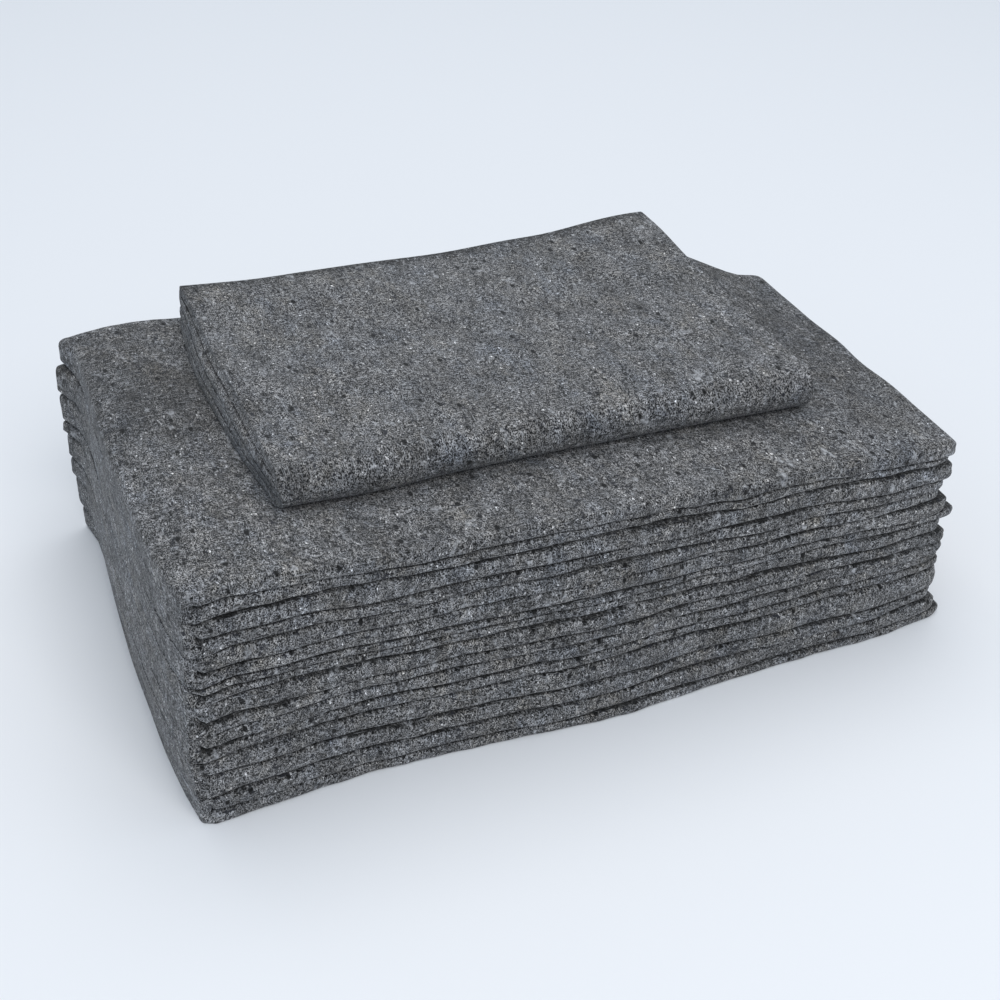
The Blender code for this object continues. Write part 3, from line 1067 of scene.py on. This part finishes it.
@dataclass
class SmallBlanket(Blanket):
    """A blanket folded to a pack of four layers, and the pack folded twice more along its length.

    Reaches and bulges are in mm, for each of the four passes of the pack from the lowest up.
    """

    pile: Pile = field(default_factory=Pile)
    centre: tuple[float, float] = (0.0, 0.032)
    lean: float = 0.03
    slant: float = 0.018
    lift: float = 1.0 * MM
    pack: float = 9.2 * MM
    pack_segments: tuple[int, int] = (10, 5)
    squareness: float = 0.2
    pass_gap: float = 0.5 * MM
    path_segments: tuple[int, int] = (20, 9)
    path_squareness: float = 0.95
    pack_stops: int = 34
    pass_stops: int = 22
    left_reach_front: tuple[float, ...] = (9.0, 12.0, 14.0, 12.0)
    left_reach: tuple[float, ...] = (14.0, 15.0, 13.0, 10.0)
    left_bulge: tuple[float, ...] = (11.0, 6.5, 5.0, -1.0)
    right_reach: tuple[float, ...] = (18.0, 21.0, 24.0, 22.0)
    right_taper: float = 5.5
    left_uneven: Waves = Waves(500, 1.6 * MM, 0.14)
    right_uneven: Waves = Waves(501, 1.6 * MM, 0.14)
    front_uneven: Waves = Waves(502, 0.8 * MM, 0.16)
    passes_apart: float = 3.0
    front_line: Line = Line(
        ((-0.26, -11.0), (-0.235, -6.0), (-0.2, 0.0), (-0.16, 3.0), (0.0, 0.0), (0.15, -2.0), (0.24, -6.0)))
    swell: Waves = Waves(503, 0.02, 0.15)
    loft: Line = Line(
        ((-0.24, 0.14), (-0.15, 0.14), (-0.05, 0.05), (0.0, -0.01), (0.06, -0.08), (0.15, -0.01),
         (0.24, 0.14)), 0.03)
    # How much shade is painted into the felt deep in its creases
    crease_strength: float = 0.7
    shown_runs: int = 2

    def grid(self) -> tuple[np.ndarray, np.ndarray]:
        """The points of the pack's section, carried along its four passes.

        The path is the same twice-folded line one size up. A point's share of the pack's height picks its
        place between the path's two faces. It then leans and slants in plan, and lies on the pile at its
        height times a swell.

        Returns:
            Stations by section points by three, and each point's depth in a crease.
        """
        scale = self.pack / PACK_THICKNESS
        strip = StripFold(FELT * scale, LAYER_PITCH * scale, *self.pack_segments, self.squareness)
        outer, inner = strip.faces(self.pack_stops)
        outline = outer.then_home(inner)
        pitch = self.pack + self.pass_gap
        path = StripFold(self.pack, pitch, *self.path_segments, self.path_squareness)
        path_out, path_in = path.faces(self.pass_stops)
        share = outline.height / self.pack
        inward = path_out.inward[:, None] * share + path_in.inward[:, None] * (1 - share)
        height = path_out.height[:, None] * share + path_in.height[:, None] * (1 - share)
        far = path_out.far[:, None]

        # Plan
        local_y = Section(far, inward, height).place(-SMALL_DEPTH / 2, SMALL_DEPTH / 2)
        depth = local_y / SMALL_DEPTH + 0.5
        local_x = outline.place(*self.ends(local_y, depth, height, pitch))
        local_y = local_y + self.front_line.at(local_x) * MM * (1 - depth)
        local_y = local_y + self.front_uneven.at(local_x, height * self.passes_apart) * (1 - 2 * far)
        x = self.centre[0] + local_x + self.lean * local_y
        y = self.centre[1] + local_y + self.slant * local_x

        # Heights, and creases with painted shade: the outer face shows up to the path's second turn, where
        # the top pass ends
        swell = 1 + self.swell.at(x, y) + self.loft.at(local_x) * depth**2
        z = self.pile.top(len(self.pile.folds), x, y) + self.lift + height * swell
        runs = np.cumsum(np.abs(np.diff(far[:, 0], prepend=far[0, 0])))
        covered = (share < 0.5) | (np.round(runs, 6) >= self.shown_runs)[:, None]
        return np.stack([x, y, z], axis=-1), crease_of(share + 0 * far) * covered * self.crease_strength

    def ends(self, y: np.ndarray, depth: np.ndarray, height: np.ndarray,
             pitch: float) -> tuple[np.ndarray, np.ndarray]:
        """The left and the right end, to which each pass reaches out by its own amount.

        The left reach runs from the front's to the back's and bulges by 4 depth (1 - depth) between them.
        The right one tapers toward the back.

        Args:
            y: places along the blanket's own Y.
            depth: the way from the front to the back, 0 to 1.
            height: heights over the blanket's lowest face.
            pitch: the height from one pass to the next.

        Returns:
            The left and the right end along the blanket's own X.
        """
        levels = (np.arange(LAYERS) + 0.5) * pitch
        reach = np.interp(height, levels, self.left_reach_front) * (1 - depth)
        reach = reach + np.interp(height, levels, self.left_bulge) * 4 * depth * (1 - depth)
        reach = reach + np.interp(height, levels, self.left_reach) * depth
        right_reach = np.interp(height, levels, self.right_reach) - self.right_taper * depth
        left = -SMALL_LENGTH / 2 - reach * MM + self.left_uneven.at(y, height * self.passes_apart)
        right = SMALL_LENGTH / 2 + right_reach * MM + self.right_uneven.at(y, height * self.passes_apart)
        return left, right


@dataclass(frozen=True)
class SoftLight:
    """A square light: its name, where it stands, its side, its power in watts and its colour."""

    name: str
    place: Triple
    side: float
    power: float
    colour: Triple


@dataclass
class Studio:
    """A plain pale floor, soft light and the photograph's camera."""

    floor_size: float = 24.0
    floor_colour: Triple = (0.82, 0.835, 0.86)
    floor_roughness: float = 0.9
    floor_specular: float = 0.1
    lights: tuple[SoftLight, ...] = (
        SoftLight("key", (-0.2, -3.2, 3.6), 2.8, 100.0, (0.99, 0.975, 0.96)),
        SoftLight("top", (0.3, 1.0, 4.0), 3.4, 58.0, (1.0, 0.965, 0.925)),
    )
    aim: Triple = (0.0, 0.0, 0.1)
    sky_colour: Triple = (0.77, 0.875, 1.0)
    sky_strength: float = 0.59
    camera_place: Triple = (-0.5430, -1.3146, 1.0382)
    camera_turn: Triple = (radians(56.126), 0.0, radians(-22.697))
    sensor: float = 36.0
    lens: float = 65.71

    def floor(self) -> None:
        """Adds the floor as part of the stage."""
        half = self.floor_size / 2
        corners = [(-half, -half, 0), (half, -half, 0), (half, half, 0), (-half, half, 0)]
        mesh = bpy.data.meshes.new("floor")
        mesh.from_pydata(corners, [], [(0, 1, 2, 3)])
        material = bpy.data.materials.new("floor_pale")
        material.use_nodes = True
        shader = material.node_tree.nodes["Principled BSDF"]
        shader.inputs["Base Color"].default_value = opaque(self.floor_colour)
        shader.inputs["Roughness"].default_value = self.floor_roughness
        shader.inputs["Specular IOR Level"].default_value = self.floor_specular
        mesh.materials.append(material)
        floor = bpy.data.objects.new("floor", mesh)
        bpy.context.scene.collection.objects.link(floor)

    def light(self, light: SoftLight) -> None:
        """Adds a light that looks at the stack.

        Args:
            light: the light's sizes.
        """
        lamp = bpy.data.lights.new(light.name, "AREA")
        lamp.size = light.side
        lamp.energy = light.power
        lamp.color = light.colour
        holder = bpy.data.objects.new(light.name, lamp)
        holder.location = light.place
        x, y, z = np.array(self.aim) - np.array(light.place)
        holder.rotation_euler = (np.arctan2(np.hypot(x, y), -z), 0.0, np.arctan2(-x, y))
        bpy.context.scene.collection.objects.link(holder)

    def sky(self) -> None:
        """Adds the even pale light from all round."""
        world = bpy.data.worlds.new("sky")
        world.use_nodes = True
        background = world.node_tree.nodes["Background"]
        background.inputs["Color"].default_value = opaque(self.sky_colour)
        background.inputs["Strength"].default_value = self.sky_strength
        bpy.context.scene.world = world
        bpy.context.scene.view_settings.view_transform = "Standard"

    def camera(self) -> None:
        """Adds the camera where the photograph was taken from."""
        eye = bpy.data.cameras.new("camera")
        eye.sensor_width = self.sensor
        eye.lens = self.lens
        eye.dof.use_dof = False
        holder = bpy.data.objects.new("camera", eye)
        holder.location = self.camera_place
        holder.rotation_euler = self.camera_turn
        bpy.context.scene.collection.objects.link(holder)
        bpy.context.scene.camera = holder

    def build(self) -> None:
        """Adds the floor, the lights, the sky and the camera."""
        self.floor()
        for light in self.lights:
            self.light(light)
        self.sky()
        self.camera()
        LOG.info("studio: floor, %d lights, sky and camera", len(self.lights))


def main() -> None:
    """Builds the blankets from the bottom up, then the studio."""
    logging.basicConfig(level=logging.INFO, format="%(name)s %(message)s")
    finish = Felt()
    below = None
    last = len(WIDE_FOLDS) - 1
    for index in range(len(WIDE_FOLDS)):
        name = f"felt_blanket_{index + 1}"
        # The highest wide blanket gets the painted shade and dark patches
        blanket = WideBlanket(name, f"felt_{index + 1}", f"blanket_{index + 1}", below, finish,
                              PATTERN_STEP * index, tuple(ShadeAndDarkPatch) if index == last else (), index=index)
        if index == last:
            blanket.stops = TOP_STOPS
        blanket.build()
        below = name
    SmallBlanket("felt_blanket_top", "felt_top", "blanket_top", below, finish, SMALL_PATTERN).build()
    Studio().build()


if __name__ == "__main__":
    main()
